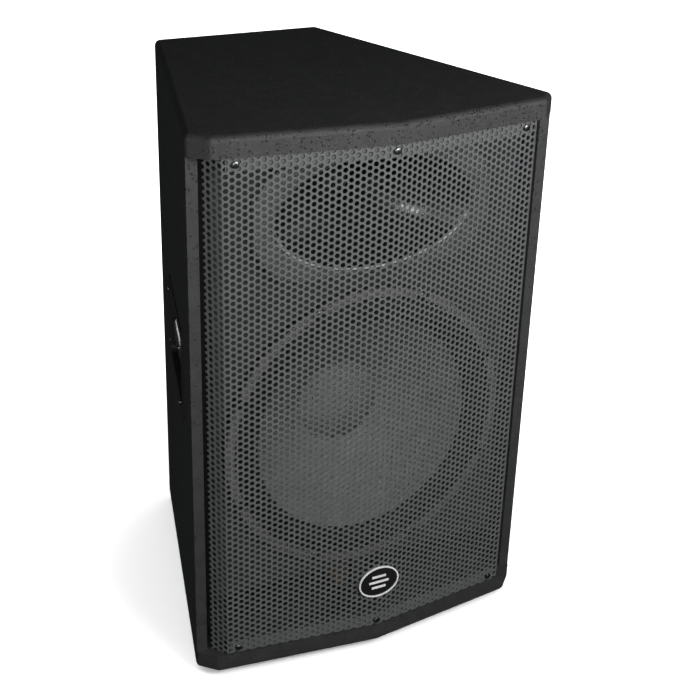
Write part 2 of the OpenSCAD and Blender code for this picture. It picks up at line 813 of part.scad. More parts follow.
module right_handle_tray() { color("#141516") handle_tray(); }
module left_handle_tray() { color("#141516") mirror([1, 0, 0]) handle_tray(); }
module right_handle_grip() { color("#1a1b1c") handle_grip(); }
module left_handle_grip() { color("#1a1b1c") mirror([1, 0, 0]) handle_grip(); }

module handle_screws() {
    color("#1d1e1f") for (m = [0, 1]) mirror([m, 0, 0]) at_handle() at_handle_screws()
        translate([handle_rim, 0, 0]) rotate([0, 90, 0]) screw(4.2, 2.2, 1.85, 14);
}

// Top hat for a speaker pole, closed at its upper end
module pole_socket() {
    color("#3a3c3e") translate([0, pole_y, floor_z - 2.5]) difference() {
        union() {
            cylinder(h = 2.5, r = 52);
            cylinder(h = pole_depth + 2.5, r = pole_r + pole_wall);
        }
        translate([0, 0, -1]) cylinder(h = pole_depth + 1, r = pole_r);
        at_pole_screws() translate([0, 0, -1]) cylinder(h = 4.5, r = 2.5);
    }
}

module pole_socket_screws() {
    color("#8e9194") translate([0, pole_y, floor_z - 2.5]) at_pole_screws() mirror([0, 0, 1])
        screw(4.6, 2.6, 2.35, 16);
}

// Rubber foot with a sunk screw
module foot(i) {
    color("#131414") translate([foot_xy[i][0], foot_xy[i][1], 0]) rotate_extrude() polygon([
        [6.5, 0], [16, 0], [17, 1], [19, foot_h], [2.6, foot_h], [2.6, foot_h - 3], [6.5, foot_h - 3]
    ]);
}

module foot_front_left() { foot(0); }
module foot_front_right() { foot(1); }
module foot_back_left() { foot(2); }
module foot_back_right() { foot(3); }

module foot_screws() {
    color("#8e9194") for (p = foot_xy) translate([p[0], p[1], foot_h - 3]) mirror([0, 0, 1])
        screw(5, 2.6, 2.05, 18);
}

// Internal leads, from the crossover to the two drivers
module woofer_lead() {
    y = back_y - back_t - 11.6;
    pts = [
        [-70, y, board_z - 30], [-70, y - 8, board_z - 30], [-71, y - 20, board_z - 44],
        [-76, y - 44, board_z - 90], [-80, 120, board_z - 126], [-76, 70, board_z - 160],
        [-60, 20, board_z - 184],
        [-38, -30, woofer_z - 160], [-20, -78, woofer_z - 172], [-12, baffle_y + 62, woofer_z - 168],
        [-12, baffle_y + 62, woofer_z - 160], [-12, baffle_y + 62, woofer_z - 153.5]
    ];
    color("#a3201c") tube(smooth(pts, 4), 2.2);
}

module hf_lead() {
    y = back_y - back_t - 11.6;
    end_y = baffle_y + throat_z + hf_depth;
    pts = [
        [60, y, board_z + 30], [60, y - 8, board_z + 30], [60, y - 18, board_z + 40],
        [56, y - 34, board_z + 72], [46, 130, board_z + 106], [34, 84, board_z + 138],
        [22, 56, board_z + 176], [12, 26, horn_z - 38], [8, end_y + 12, horn_z - 22],
        [8, end_y + 6, horn_z - 20], [8, end_y, horn_z - 20]
    ];
    color("#22366f") tube(smooth(pts, 4), 2.2);
}

top_panel();
bottom_panel();
left_side_panel();
right_side_panel();
back_panel();
front_baffle();
port_shelf();
port_divider();
cross_brace();
corner_battens();
top_grille_rail();
bottom_grille_rail();
grille();
grille_screws();
badge_plate();
badge_ring();
woofer_basket();
woofer_gasket();
woofer_surround();
woofer_cone();
woofer_dust_cap();
woofer_voice_coil();
woofer_spider();
woofer_top_plate();
woofer_magnet();
woofer_yoke();
woofer_terminals();
woofer_screws();
horn_flare();
horn_screws();
hf_front_plate();
hf_magnet();
hf_top_plate();
hf_diaphragm();
hf_clamp_ring();
hf_rear_cover();
hf_bolts();
crossover_board();
crossover_spacers();
crossover_inductors();
crossover_capacitors();
crossover_resistors();
input_plate();
input_socket_upper();
input_socket_lower();
input_plate_screws();
left_handle_tray();
left_handle_grip();
right_handle_tray();
right_handle_grip();
handle_screws();
pole_socket();
pole_socket_screws();
foot_front_left();
foot_front_right();
foot_back_left();
foot_back_right();
foot_screws();
woofer_lead();
hf_lead();
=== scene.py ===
"""Two-way loudspeaker cabinet with a perforated grille.

Lengths are in metres, in the frame of the CAD model, unless a comment names another unit.
"""
import bpy
import json
import math
import random
from mathutils import Matrix, Vector


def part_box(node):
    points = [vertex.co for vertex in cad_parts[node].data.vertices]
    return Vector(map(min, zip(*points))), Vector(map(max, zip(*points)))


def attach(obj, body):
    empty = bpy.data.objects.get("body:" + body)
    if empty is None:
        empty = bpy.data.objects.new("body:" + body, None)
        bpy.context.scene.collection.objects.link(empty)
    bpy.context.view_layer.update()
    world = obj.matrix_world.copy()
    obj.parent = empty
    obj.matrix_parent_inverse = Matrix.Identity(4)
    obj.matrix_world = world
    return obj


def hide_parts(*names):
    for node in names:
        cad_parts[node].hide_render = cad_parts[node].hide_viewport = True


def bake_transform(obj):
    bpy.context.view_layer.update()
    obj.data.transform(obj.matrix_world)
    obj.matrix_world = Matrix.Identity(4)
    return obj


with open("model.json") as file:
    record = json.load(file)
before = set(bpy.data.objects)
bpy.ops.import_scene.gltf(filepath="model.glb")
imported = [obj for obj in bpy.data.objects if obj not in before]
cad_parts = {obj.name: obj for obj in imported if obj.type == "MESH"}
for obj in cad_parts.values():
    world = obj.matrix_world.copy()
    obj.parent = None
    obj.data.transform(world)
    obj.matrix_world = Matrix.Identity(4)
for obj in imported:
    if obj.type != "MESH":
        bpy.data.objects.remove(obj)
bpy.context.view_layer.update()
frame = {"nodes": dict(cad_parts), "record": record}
nodes = frame["nodes"]
horn_low, horn_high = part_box("horn_flare")
HORN_HEIGHT = (horn_low.z + horn_high.z) / 2
MM = 0.001
ROOT = "root"
CONE = "woofer_cone_assembly"

# ---------------------------------------------------------------- camera and lights

CAMERA_AT = (-0.7152, -1.4891, 1.1317)
YAW, PITCH, ROLL = 0.484, 0.451, -0.032  # radians
FOCAL_LENGTH, SENSOR_WIDTH = 70.37, 36  # millimetres


def link_object(name, data):
    obj = bpy.data.objects.new(name, data)
    bpy.context.scene.collection.objects.link(obj)
    return obj


def make_camera():
    """Camera at the photograph's angle, from the fit of the cabinet's outline."""
    fwd = Vector((math.sin(YAW) * math.cos(PITCH), math.cos(YAW) * math.cos(PITCH), -math.sin(PITCH)))
    right = Vector((math.cos(YAW), -math.sin(YAW), 0))
    down = fwd.cross(right)
    x = math.cos(ROLL) * right + math.sin(ROLL) * down
    y = math.sin(ROLL) * right - math.cos(ROLL) * down
    data = bpy.data.cameras.new("camera")
    data.lens = FOCAL_LENGTH
    data.sensor_width = SENSOR_WIDTH
    cam = link_object("camera", data)
    cam.matrix_world = Matrix((
        (x[0], y[0], -fwd[0], CAMERA_AT[0]),
        (x[1], y[1], -fwd[1], CAMERA_AT[1]),
        (x[2], y[2], -fwd[2], CAMERA_AT[2]),
        (0, 0, 0, 1),
    ))
    bpy.context.scene.camera = cam


def area_light(name, at, target, size, power, size_y=None):
    """A lamp of so many watts, aimed at target and hidden from the camera."""
    data = bpy.data.lights.new(name, "AREA")
    data.shape = "RECTANGLE"
    data.size = size
    data.size_y = size_y or size
    data.energy = power
    lamp = link_object(name, data)
    lamp.location = at
    lamp.rotation_euler = (Vector(target) - Vector(at)).to_track_quat("-Z", "Y").to_euler()
    lamp.visible_camera = False
    return lamp


def link_light(lamp, *objects, state="INCLUDE"):
    """Keeps a lamp's light to the objects, or off them with EXCLUDE. Everything still casts shadows."""
    group = bpy.data.collections.new("lit_by_" + lamp.name)
    for obj in objects:
        group.objects.link(obj)
    lamp.light_linking.receiver_collection = group
    for held in group.collection_objects:
        held.light_linking.link_state = state


# ---------------------------------------------------------------- materials

COAT_ROUGH = 0.1
CHANNEL_SHADE_FROM, CHANNEL_SHADE_TO = 0.196, 0.204  # |x| over which painted shade darkens the baffle in the channels beside the grille
MOUTH_HALF_W, MOUTH_HALF_H = 0.1285, 0.0685  # the oval that parts the horn's flare from its flange


class Paint:
    """A Principled material with helpers for its procedural nodes."""

    def __init__(self, name, rough, metal=0.0, spec=0.5, coat=0.0):
        self.mat = bpy.data.materials.new(name)
        self.mat.use_nodes = True
        self.tree = self.mat.node_tree
        self.shader = self.tree.nodes["Principled BSDF"]
        self.shader.inputs["Roughness"].default_value = rough
        self.shader.inputs["Metallic"].default_value = metal
        self.shader.inputs["Specular IOR Level"].default_value = spec
        self.shader.inputs["Coat Weight"].default_value = coat
        self.shader.inputs["Coat Roughness"].default_value = COAT_ROUGH
        self.place = self.tree.nodes.new("ShaderNodeTexCoord").outputs["Object"]
        self.normal = None

    def stretch(self, scale):
        node = self.tree.nodes.new("ShaderNodeMapping")
        node.inputs["Scale"].default_value = scale
        self.tree.links.new(self.place, node.inputs["Vector"])
        return node.outputs["Vector"]

    def axes(self):
        """X, Y and Z of the place on the object, as three sockets."""
        node = self.tree.nodes.new("ShaderNodeSeparateXYZ")
        self.tree.links.new(self.place, node.inputs["Vector"])
        return node.outputs

    def noise(self, scale, detail, rough=0.55, place=None):
        node = self.tree.nodes.new("ShaderNodeTexNoise")
        node.inputs["Scale"].default_value = scale
        node.inputs["Detail"].default_value = detail
        node.inputs["Roughness"].default_value = rough
        self.tree.links.new(place or self.place, node.inputs["Vector"])
        return node.outputs["Fac"]

    def cells(self, scale, smooth):
        node = self.tree.nodes.new("ShaderNodeTexVoronoi")
        node.feature = "SMOOTH_F1"
        node.inputs["Scale"].default_value = scale
        node.inputs["Smoothness"].default_value = smooth
        self.tree.links.new(self.place, node.inputs["Vector"])
        return node.outputs["Distance"]

    def wave(self, direction, scale, distortion):
        node = self.tree.nodes.new("ShaderNodeTexWave")
        node.bands_direction = direction
        node.inputs["Scale"].default_value = scale
        node.inputs["Distortion"].default_value = distortion
        self.tree.links.new(self.place, node.inputs["Vector"])
        return node.outputs["Fac"]

    def spread(self, value, low, high, to_low=0.0, to_high=1.0):
        """Maps low..high to to_low..to_high, clamped."""
        node = self.tree.nodes.new("ShaderNodeMapRange")
        for key, number in zip(("From Min", "From Max", "To Min", "To Max"), (low, high, to_low, to_high)):
            node.inputs[key].default_value = number
        self.tree.links.new(value, node.inputs["Value"])
        return node.outputs["Result"]

    def math(self, op, a, b=0):
        node = self.tree.nodes.new("ShaderNodeMath")
        node.operation = op
        for socket, value in zip(node.inputs, (a, b)):
            if isinstance(value, (int, float)):
                socket.default_value = value
            else:
                self.tree.links.new(value, socket)
        return node.outputs[0]

    def colour(self, factor, *stops):
        """Base colour from a ramp. Its stops are (position, (r, g, b))."""
        node = self.tree.nodes.new("ShaderNodeValToRGB")
        ramp = node.color_ramp
        while len(ramp.elements) < len(stops):
            ramp.elements.new(0.5)
        for element, (at, rgb) in zip(ramp.elements, stops):
            element.position = at
            element.color = (*rgb, 1)
        self.tree.links.new(factor, node.inputs["Fac"])
        self.tree.links.new(node.outputs["Color"], self.shader.inputs["Base Color"])

    def rough(self, value):
        self.tree.links.new(value, self.shader.inputs["Roughness"])

    def bump(self, height, strength, distance):
        """Adds a bump on top of any earlier one."""
        node = self.tree.nodes.new("ShaderNodeBump")
        node.inputs["Strength"].default_value = strength
        node.inputs["Distance"].default_value = distance
        self.tree.links.new(height, node.inputs["Height"])
        if self.normal is not None:
            self.tree.links.new(self.normal, node.inputs["Normal"])
        self.normal = node.outputs["Normal"]
        self.tree.links.new(self.normal, self.shader.inputs["Normal"])


def grey(v, warm=0.0):
    """A grey of value v, tinted towards red by warm or towards blue below zero."""
    return (v * (1 + warm), v, v * (1 - warm))


def textured_paint():
    """Hard black coating with small droplets on a fine grain."""
    p = Paint("cabinet_paint", rough=0.45, spec=0.5)
    drops = p.tree.nodes.new("ShaderNodeTexVoronoi")
    drops.inputs["Scale"].default_value = 260
    drops.inputs["Randomness"].default_value = 1.0
    p.tree.links.new(p.place, drops.inputs["Vector"])
    round_drop = p.spread(drops.outputs["Distance"], 0.34, 0.10)
    pick = p.tree.nodes.new("ShaderNodeSeparateColor")
    p.tree.links.new(drops.outputs["Color"], pick.inputs["Color"])
    some = p.spread(pick.outputs["Red"], 0.45, 0.75)
    fine = p.noise(900, 5, 0.75)
    p.colour(p.noise(60, 5), (0.25, grey(0.026)), (0.8, grey(0.042)))
    p.rough(p.spread(p.noise(500, 3), 0.3, 0.7, 0.36, 0.60))
    p.bump(p.math("MULTIPLY", round_drop, some), 1.0, 0.0022)
    p.bump(fine, 0.9, 0.0009)
    return p.mat


def sheet_paint():
    """Powder coat of the grille."""
    p = Paint("grille_steel", rough=0.45, spec=0.45)
    p.colour(p.noise(45, 5), (0.2, (0.090, 0.094, 0.095)), (0.8, (0.120, 0.124, 0.125)))
    p.rough(p.spread(p.noise(500, 3), 0.3, 0.7, 0.36, 0.55))
    p.bump(p.noise(2200, 2), 0.25, 0.0002)
    return p.mat


def matte_paint(name, low, high, rough, spec=0.25, bump=0.3):
    """Finely grained paint or board, between two colours."""
    p = Paint(name, rough=rough, spec=spec)
    p.colour(p.noise(70, 6, 0.6), (0.25, low), (0.75, high))
    p.rough(p.spread(p.noise(260, 3), 0.3, 0.7, rough - 0.1, min(1.0, rough + 0.1)))
    p.bump(p.noise(1100, 3), bump, 0.0003)
    return p.mat


def baffle_paint_with_shade():
    """Matte paint on the front board, with painted shade in the channels beside the grille."""
    p = Paint("baffle_paint", rough=0.75, spec=0.25)
    # Painted shade: towards the channels beside the grille the colour falls to the two near-black stops
    middle = p.spread(p.math("ABSOLUTE", p.axes()["X"]), CHANNEL_SHADE_TO, CHANNEL_SHADE_FROM)
    grain = p.math("ADD", p.math("MULTIPLY", p.noise(70, 6, 0.6), 0.3), p.math("MULTIPLY", middle, 0.7))
    p.colour(grain, (0.1, grey(0.004)), (0.3, grey(0.006)), (0.8, grey(0.041)), (1.0, grey(0.060)))
    p.bump(p.noise(1100, 3), 0.3, 0.0003)
    return p.mat


def plywood():
    """Bare birch, its grain along X."""
    p = Paint("birch_ply", rough=0.75, spec=0.2)
    grain = p.noise(35, 8, 0.65, p.stretch((1, 14, 14)))
    p.colour(grain, (0.25, (0.42, 0.27, 0.14)), (0.55, (0.60, 0.43, 0.25)), (0.8, (0.70, 0.54, 0.35)))
    p.bump(grain, 0.3, 0.0003)
    return p.mat


def moulding(name, low, high, rough, spec=0.4, grain=1300, depth=0.0002):
    """Injection moulded plastic with a fine grain."""
    p = Paint(name, rough=rough, spec=spec)
    p.colour(p.noise(25, 4), (0.3, low), (0.7, high))
    p.rough(p.spread(p.noise(180, 4), 0.3, 0.7, max(0.05, rough - 0.07), rough + 0.09))
    p.bump(p.cells(grain, 0.5), 0.3, depth)
    return p.mat


def metal(name, low, high, rough, scratch=(1, 1, 30), bump=0.12):
    """Brushed metal. scratch is the lines' scale on each axis, so they run along the small ones."""
    p = Paint(name, rough=rough, metal=1.0)
    lines = p.noise(220, 6, 0.7, p.stretch(scratch))
    p.colour(lines, (0.25, low), (0.8, high))
    p.rough(p.spread(lines, 0.3, 0.7, max(0.05, rough - 0.1), rough + 0.12))
    p.bump(lines, bump, 0.0001)
    return p.mat


def fibre(name, low, high, scale, rough=0.85, bump=0.5):
    """Pressed paper or cloth."""
    p = Paint(name, rough=rough, spec=0.25)
    strands = p.noise(scale, 5, 0.7, p.stretch((1, 0.35, 1)))
    cross = p.noise(scale * 0.8, 5, 0.7, p.stretch((0.3, 1, 1)))
    both = p.math("ADD", strands, cross)
    p.colour(p.math("MULTIPLY", both, p.noise(30, 3)), (0.25, low), (0.75, high))
    p.bump(both, bump, 0.0003)
    return p.mat


def weave(name, low, high):
    """Open cloth stiffened with resin."""
    p = Paint(name, rough=0.6, spec=0.3)
    both = p.math("MULTIPLY", p.wave("X", 320, 1.5), p.wave("Z", 320, 1.5))
    p.colour(both, (0.1, low), (0.7, high))
    p.bump(both, 0.5, 0.0003)
    return p.mat


def wound_wire(name, low, high):
    """Turns of enamelled wire round the Y axis."""
    p = Paint(name, rough=0.28, metal=0.9)
    turns = p.wave("Y", 260, 0.3)
    p.colour(turns, (0.1, low), (0.6, high))
    p.bump(turns, 0.8, 0.0004)
    return p.mat


def circuit_board():
    """Green board with paler tracks."""
    p = Paint("board_green", rough=0.35, spec=0.5, coat=0.3)
    tracks = p.cells(110, 0.0)
    p.colour(
        tracks,
        (0.25, (0.010, 0.075, 0.028)), (0.32, (0.022, 0.13, 0.05)), (0.6, (0.012, 0.085, 0.032)),
    )
    p.bump(tracks, 0.2, 0.0002)
    return p.mat


def horn_gloss_and_painted_light():
    """Gloss black flare in a satin flange. The flange is coloured grey and the flare near black as painted
    shade, and a painted highlight lines the lower half of the mouth's rim.
    """
    p = Paint("horn_plastic", rough=0.2, spec=0.6)
    axes = p.axes()
    across = p.math("DIVIDE", axes["X"], MOUTH_HALF_W)
    up = p.math("DIVIDE", p.math("SUBTRACT", axes["Z"], HORN_HEIGHT), MOUTH_HALF_H)
    ring = p.math("SQRT", p.math("ADD", p.math("MULTIPLY", across, across), p.math("MULTIPLY", up, up)))
    # flange marks the flange, coloured grey; inside it the flare gets near black, painted shade of the
    # horn's hollow
    flange = p.spread(ring, 0.99, 1.01)
    # Painted highlight: a light grey line on the rolled lip, kept to the mouth's lower half
    rim = p.math("MULTIPLY", p.spread(ring, 0.975, 0.985), p.spread(ring, 1.022, 1.012))
    rim = p.math("MULTIPLY", rim, p.spread(up, 0.1, -0.3))
    shade = p.math("ADD", p.math("MULTIPLY", flange, 0.6), p.math("MULTIPLY", p.noise(60, 4), 0.15))
    shade = p.math("MAXIMUM", shade, rim)
    p.colour(
        shade,
        (0.05, grey(0.008)), (0.15, grey(0.012)), (0.6, grey(0.058)), (0.75, grey(0.074)), (1.0, grey(0.32)),
    )
    gloss = p.spread(p.noise(90, 4), 0.3, 0.7, 0.15, 0.24)
    p.rough(p.math("ADD", gloss, p.spread(ring, 1.03, 1.06, 0.0, 0.35)))
    p.bump(p.noise(420, 3), 0.12, 0.0002)
    return p.mat


# One finish for each material slot of the record
FINISH = {
    "cabinet_paint": textured_paint(),
    "baffle_paint": baffle_paint_with_shade(),
    "rail_paint": matte_paint("rail_paint", grey(0.075), grey(0.10), rough=0.7),
    "birch_ply": plywood(),
    "grille_steel": sheet_paint(),
    "black_screw": metal("black_screw", grey(0.10), grey(0.22), rough=0.32),
    "zinc_screw": metal("zinc_screw", grey(0.45, -0.02), grey(0.65, -0.02), rough=0.28),
    "badge_black": moulding(
        "badge_black", grey(0.008), grey(0.013), rough=0.2, spec=0.5, grain=300, depth=0.0001
    ),
    "badge_silver": matte_paint("badge_silver", grey(0.72), grey(0.85), rough=0.35, spec=0.7, bump=0.1),
    "basket_metal": matte_paint("basket_metal", grey(0.020), grey(0.032), rough=0.45, spec=0.4, bump=0.4),
    "gasket_board": fibre("gasket_board", grey(0.13, 0.06), grey(0.20, 0.06), scale=700),
    "surround_cloth": fibre("surround_cloth", grey(0.010), grey(0.020), rough=0.6, scale=1400, bump=0.6),
    "cone_paper": matte_paint("cone_paper", grey(0.150), grey(0.172), rough=0.8, spec=0.2, bump=0.35),
    "coil_copper": wound_wire("coil_copper", (0.45, 0.17, 0.07), (0.85, 0.42, 0.22)),
    "spider_cloth": weave("spider_cloth", (0.30, 0.17, 0.05), (0.66, 0.45, 0.19)),
    "plated_steel": metal("plated_steel", grey(0.42), grey(0.60), rough=0.3, scratch=(1, 30, 1)),
    "ferrite": matte_paint("ferrite", grey(0.030), grey(0.055), rough=0.5, spec=0.5, bump=0.5),
    "terminal_red": moulding("terminal_red", (0.25, 0.012, 0.010), (0.38, 0.022, 0.016), rough=0.3),
    "horn_plastic": horn_gloss_and_painted_light(),
    "diaphragm_metal": metal("diaphragm_metal", grey(0.55), grey(0.75), rough=0.25),
    "cast_aluminium": metal(
        "cast_aluminium", grey(0.40), grey(0.58), rough=0.5, scratch=(1, 1, 1), bump=0.4
    ),
    "driver_cover": moulding("driver_cover", grey(0.014), grey(0.022), rough=0.5),
    "board_green": circuit_board(),
    "nylon_white": moulding("nylon_white", grey(0.62, 0.02), grey(0.74, 0.02), rough=0.5),
    "capacitor_blue": moulding("capacitor_blue", (0.012, 0.05, 0.24), (0.03, 0.10, 0.38), rough=0.3),
    "cement_white": matte_paint("cement_white", grey(0.60, 0.04), grey(0.76, 0.04), rough=0.9),
    "plate_black": matte_paint("plate_black", grey(0.012), grey(0.019), rough=0.45, spec=0.45, bump=0.35),
    "socket_plastic": moulding("socket_plastic", (0.012, 0.014, 0.022), (0.018, 0.021, 0.032), rough=0.42),
    "handle_plastic": moulding(
        "handle_plastic", grey(0.016), grey(0.026), rough=0.5, grain=700, depth=0.0004
    ),
    "grip_plastic": moulding("grip_plastic", grey(0.011), grey(0.017), rough=0.3, spec=0.5, grain=1100),
    "socket_steel": matte_paint("socket_steel", grey(0.025), grey(0.040), rough=0.4, spec=0.5, bump=0.3),
    "foot_rubber": moulding("foot_rubber", grey(0.011), grey(0.018), rough=0.75, spec=0.25, grain=500),
    "lead_red": moulding("lead_red", (0.30, 0.010, 0.008), (0.42, 0.020, 0.014), rough=0.4),
    "lead_blue": moulding("lead_blue", (0.012, 0.025, 0.20), (0.022, 0.045, 0.32), rough=0.4),
}
# Rounding of hard edges, in millimetres
PLAIN_EDGE = 0.25
EDGE = {
    "top_panel": 1.2, "bottom_panel": 1.2, "left_side_panel": 1.2, "right_side_panel": 1.2,
    "back_panel": 0.8, "front_baffle": 0.6, "input_plate": 0.5,
    "left_handle_tray": 0.5, "right_handle_tray": 0.5,
    "foot_front_left": 1.0, "foot_front_right": 1.0, "foot_back_left": 1.0, "foot_back_right": 1.0,
}
WELD_WITHIN = 0.000005
HARD_ANGLE = math.radians(32)
FLAT_FACE_WEIGHT = 60
SLOT = {row["node"]: row["material_slot"] for row in frame["record"]["subparts"]}


def finish_of(node):
    """Material of the node's slot."""
    return FINISH[SLOT[node]]


def soften(node):
    """Shades a CAD node smooth and rounds its hard edges."""
    obj = nodes[node]
    mesh = obj.data
    if "custom_normal" in mesh.attributes:
        mesh.attributes.remove(mesh.attributes["custom_normal"])
    mesh.shade_smooth()
    weld = obj.modifiers.new("weld", "WELD")
    weld.merge_threshold = WELD_WITHIN
    bevel = obj.modifiers.new("bevel", "BEVEL")
    bevel.width = EDGE.get(node, PLAIN_EDGE) * MM
    bevel.segments = 2
    bevel.limit_method = "ANGLE"
    bevel.angle_limit = HARD_ANGLE
    bevel.use_clamp_overlap = True
    even = obj.modifiers.new("even", "WEIGHTED_NORMAL")
    even.mode = "FACE_AREA"
    even.weight = FLAT_FACE_WEIGHT


# ---------------------------------------------------------------- mesh helpers


def circle(k, sides):
    """Cosine and sine of step k of a circle in sides steps."""
    a = k * math.tau / sides
    return math.cos(a), math.sin(a)


def piece(name, verts, faces, node, body, replaces, sharp):
    """A new mesh with the finish of the node's slot. Edges over sharp degrees stay sharp."""
    mesh = bpy.data.meshes.new(name)
    mesh.from_pydata([tuple(v) for v in verts], [], faces)
    mesh.update()
    mesh.shade_smooth()
    mesh.set_sharp_from_angle(angle=math.radians(sharp))
    mesh.materials.append(finish_of(node))
    obj = link_object(name, mesh)
    if body:
        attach(obj, body)
    if replaces:
        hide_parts(*replaces)
    return obj


def loft(rings, closed=True):
    """Quads between rings of equal length. closed joins the last ring to the first."""
    n = len(rings[0])
    verts = [p for ring in rings for p in ring]
    count = len(rings) if closed else len(rings) - 1
    faces = []
    for i in range(count):
        a, b = i * n, (i + 1) % len(rings) * n
        for k in range(n):
            j = (k + 1) % n
            faces.append((a + k, a + j, b + j, b + k))
    return verts, faces


def turned(profile, at, sides):
    """Rings of a profile [(radius, depth)] turned round an axis along +Y through at."""
    turn = [circle(k, sides) for k in range(sides)]
    return [[(at[0] + r * c, at[1] + d, at[2] + r * s) for c, s in turn] for r, d in profile]


def turned_piece(name, profile, at, node, body, sides, sharp):
    """A closed turned profile as a piece that stands for the node."""
    verts, faces = loft(turned(profile, at, sides))
    return piece(name, verts, faces, node, body, [node], sharp)


def merged(parts):
    """One vertex and face list from several."""
    verts, faces = [], []
    for v, f in parts:
        base = len(verts)
        verts += v
        faces += [tuple(i + base for i in face) for face in f]
    return verts, faces


# ---------------------------------------------------------------- grille

HOLE_R = 3.0 * MM
HOLE_SIDES = 12
COLUMN = 7.13 * MM
ROWS = 81
LAST_COLUMN = 31
FOLD = math.radians(7)
FACET_X = 198.5 * MM
FLANGE_X, FLANGE_Y = 213.5 * MM, 44.5 * MM
SHEET = 1.5 * MM
BEND = 2.2 * MM
STEP = 0.25 * MM


def sheet_line():
    """Plan of the folded sheet: points (s, x, y, angle) every STEP from the fold out."""
    lean = math.atan2(FLANGE_Y - FACET_X * math.tan(FOLD), FLANGE_X - FACET_X)
    facet = FACET_X / math.cos(FOLD)
    end = facet + math.hypot(FLANGE_X - FACET_X, FLANGE_Y - FACET_X * math.tan(FOLD))
    x, y, s = 0.0, BEND * math.tan(FOLD) / 4, 0.0
    line = []
    while s < end + STEP:
        if s < BEND:
            a = FOLD * s / BEND
        elif s < facet - BEND:
            a = FOLD
        else:
            a = FOLD + (lean - FOLD) * min(1.0, (s - facet + BEND) / (2 * BEND))
        line.append((s, x, y, a))
        x += STEP * math.cos(a)
        y += STEP * math.sin(a)
        s += STEP
    return line


def make_grille():
    """The perforated sheet in two halves that meet on the fold, to keep each mesh small enough."""
    low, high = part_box("grille")
    line = sheet_line()
    row = (high.z - low.z) / ROWS
    hw, hh = COLUMN / 2, row / 2
    hole = [circle(m, HOLE_SIDES) for m in range(HOLE_SIDES + 1)]
    rim = [
        (hw, 0), (hw, hh / 2), (hw, hh), (0, hh), (-hw, hh), (-hw, hh / 2), (-hw, 0),
        (-hw, -hh / 2), (-hw, -hh), (0, -hh), (hw, -hh), (hw, -hh / 2), (hw, 0),
    ]

    def place(s, z, depth):
        i = min(int(abs(s) / STEP + 0.5), len(line) - 1)
        s0, x, y, a = line[i]
        d = abs(s) - s0
        px = x + d * math.cos(a) - depth * math.sin(a)
        py = y + d * math.sin(a) + depth * math.cos(a)
        return (math.copysign(1, s) * px, low.y + py, low.z + z)

    # Each side's name, its columns, its outermost column, and the sectors kept there, which face the fold
    sides = (
        ("left", range(-LAST_COLUMN - 1, 0), -LAST_COLUMN - 1, {9, 10, 11, 0, 1, 2}),
        ("right", range(LAST_COLUMN + 1), LAST_COLUMN, {3, 4, 5, 6, 7, 8}),
    )
    for side, columns, outermost, inner_half in sides:
        points, index, quads = [], {}, []

        def vert(s, z):
            key = (round(s * 1e6), round(z * 1e6))
            if key not in index:
                index[key] = len(points)
                points.append((s, z))
            return index[key]

        for j in columns:
            s0 = (j + 0.5) * COLUMN
            odd = j % 2
            for k in range(ROWS + odd):
                z0 = (k + (0 if odd else 0.5)) * row
                for m in range(HOLE_SIDES):
                    lower = m >= HOLE_SIDES / 2
                    past_end = odd and (k == 0 and lower or k == ROWS and not lower)
                    if past_end or (j == outermost and m not in inner_half):
                        continue
                    (c1, s1), (c2, s2) = hole[m], hole[m + 1]
                    (u1, v1), (u2, v2) = rim[m], rim[m + 1]
                    quads.append((
                        vert(s0 + HOLE_R * c1, z0 + HOLE_R * s1),
                        vert(s0 + u1, z0 + v1),
                        vert(s0 + u2, z0 + v2),
                        vert(s0 + HOLE_R * c2, z0 + HOLE_R * s2),
                    ))
        used = dict.fromkeys(edge for q in quads for edge in zip(q, q[1:] + q[:1]))
        n = len(points)
        verts = [place(s, z, 0) for s, z in points] + [place(s, z, SHEET) for s, z in points]
        faces = list(quads) + [tuple(n + i for i in reversed(q)) for q in quads]
        faces += [(b, a, n + a, n + b) for a, b in used if (b, a) not in used]
        piece("grille_sheet_" + side, verts, faces, "grille", ROOT, ["grille"], 35)


# ---------------------------------------------------------------- woofer

baffle_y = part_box("front_baffle")[0].y
basket_low, basket_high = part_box("woofer_basket")
woofer_at = Vector((0, baffle_y, (basket_low.z + basket_high.z) / 2))
CONE_R = 147.5 * MM
COIL_R = 51 * MM
RIM_Z, NECK_Z = -4.5 * MM, 75 * MM
CUT_R = 175 * MM
PAPER = 1.4 * MM
RIBS = (80 * MM, 98 * MM, 116 * MM)
RIB_H, RIB_W = 0.45 * MM, 1.6 * MM
CAP_R, CAP_RISE = 54 * MM, 17 * MM
NEAR_ZERO = 0.02 * MM
SURROUND_SECTORS, SECTOR_STEPS = 24, 6
SEAT_Z = -5 * MM  # front of the surround's flat outer edge
ROLL_H = 3.4 * MM
CLOTH, CLOTH_ON_CONE = 0.8 * MM, 0.7 * MM


def cone_depth(r):
    """Depth of the cone's front behind the baffle at radius r."""
    return RIM_Z + (NECK_Z - RIM_Z) * max(0.0, (CONE_R - r) / (CONE_R - COIL_R)) ** 0.92


def make_cone():
    """Paper cone with three pressed ribs."""
    steps = 60
    front = []
    for i in range(steps + 1):
        r = CONE_R + (COIL_R - CONE_R) * i / steps
        rib = sum(RIB_H * math.exp(-(((r - c) / RIB_W) ** 2)) for c in RIBS)
        front.append((r, cone_depth(r) - rib + 0.1 * MM))
    back = [(r, d + PAPER) for r, d in reversed(front)]
    turned_piece("woofer_cone_paper", front + back, woofer_at, "woofer_cone", CONE, 144, 40)


